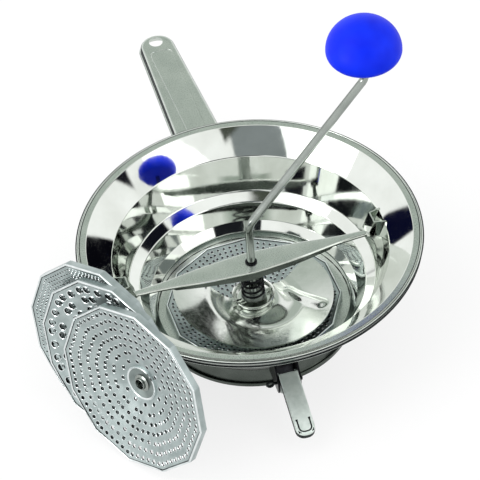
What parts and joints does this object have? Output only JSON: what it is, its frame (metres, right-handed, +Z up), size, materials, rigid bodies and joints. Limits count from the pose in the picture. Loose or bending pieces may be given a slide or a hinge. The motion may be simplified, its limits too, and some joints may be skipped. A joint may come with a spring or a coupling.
{
  "type": "food mill",
  "caption": "Hand cranked food mill: steel bowl with handle, support arm and bridge, a sprung blade over a perforated disc, with spare discs beside it.",
  "frame": {"origin": "middle of the bounding box's bottom, on the surface the mill stands on; the bowl's axis stands at x 0.0205, y -0.0400", "axes": "+Z up along the crank's shaft; the handle points along +Y and a little to -X, the support arm the other way; +X to the right of someone who faces the bowl from the support arm's side"},
  "size_m": [0.351, 0.5062, 0.2987],
  "materials": {
    "polished_steel": "mirror polished stainless steel",
    "satin_steel": "satin stainless steel",
    "disc_steel": "rolled and punched stainless steel",
    "dark_steel": "blackened steel",
    "blue_plastic": "moulded plastic, satin gloss"
  },
  "bodies": {
    "bowl": {"bowl": "polished_steel", "disc_seat_ring": "satin_steel", "handle": "satin_steel", "support_bracket": "dark_steel", "support_pin": "satin_steel", "bridge": "satin_steel", "bridge_socket_left": "satin_steel", "bridge_socket_right": "satin_steel", "bridge_washer": "satin_steel", "disc_medium": "disc_steel", "disc_medium_bush": "satin_steel"},
    "spring_lift": {"spring_seat_washer": "satin_steel", "blade_spring": "dark_steel"},
    "rotor": {"crank_rod": "polished_steel", "crank_clip": "dark_steel", "drive_pin": "satin_steel", "blade": "polished_steel", "blade_cup": "polished_steel", "knob_washer": "satin_steel", "knob_push_cap": "satin_steel"},
    "knob": {"knob": "blue_plastic", "knob_floor": "blue_plastic"},
    "support_arm": {"support_arm": "satin_steel"},
    "spare_back": {"disc_fine": "disc_steel", "disc_fine_bush": "satin_steel"},
    "spare_middle": {"disc_extra_coarse": "disc_steel", "disc_extra_coarse_bush": "satin_steel"},
    "spare_front": {"disc_coarse": "disc_steel", "disc_coarse_bush": "satin_steel"}
  },
  "joints": [
    {"name": "blade_lift", "type": "slide", "parent": "bowl", "child": "spring_lift", "axis": [0, 0, 1], "range_m": [0, 0.003], "stiffness_N_per_m": 600, "springref_m": -0.008, "deforming": ["blade_spring"]},
    {"name": "crank_spin", "type": "hinge", "parent": "spring_lift", "child": "rotor", "pos_m": [0.0205, -0.04, 0.0665], "axis": [0, 0, 1], "continuous": true},
    {"name": "knob_spin", "type": "hinge", "parent": "rotor", "child": "knob", "pos_m": [0.13056, 0.00446, 0.2687], "axis": [0, 0, 1], "continuous": true},
    {"name": "support_fold", "type": "hinge", "parent": "bowl", "child": "support_arm", "pos_m": [0.04462, -0.15347, 0.03], "axis": [-0.9781, -0.2079, 0], "range_deg": [0, 45]},
    {"name": "spare_back_lift", "type": "slide", "parent": "bowl", "child": "spare_back", "axis": [0, 0, 1], "range_m": [0, 0.12]},
    {"name": "spare_middle_lift", "type": "slide", "parent": "spare_back", "child": "spare_middle", "axis": [0, 0, 1], "range_m": [0, 0.12]},
    {"name": "spare_front_lift", "type": "slide", "parent": "spare_middle", "child": "spare_front", "axis": [0, 0, 1], "range_m": [0, 0.12]}
  ]
}
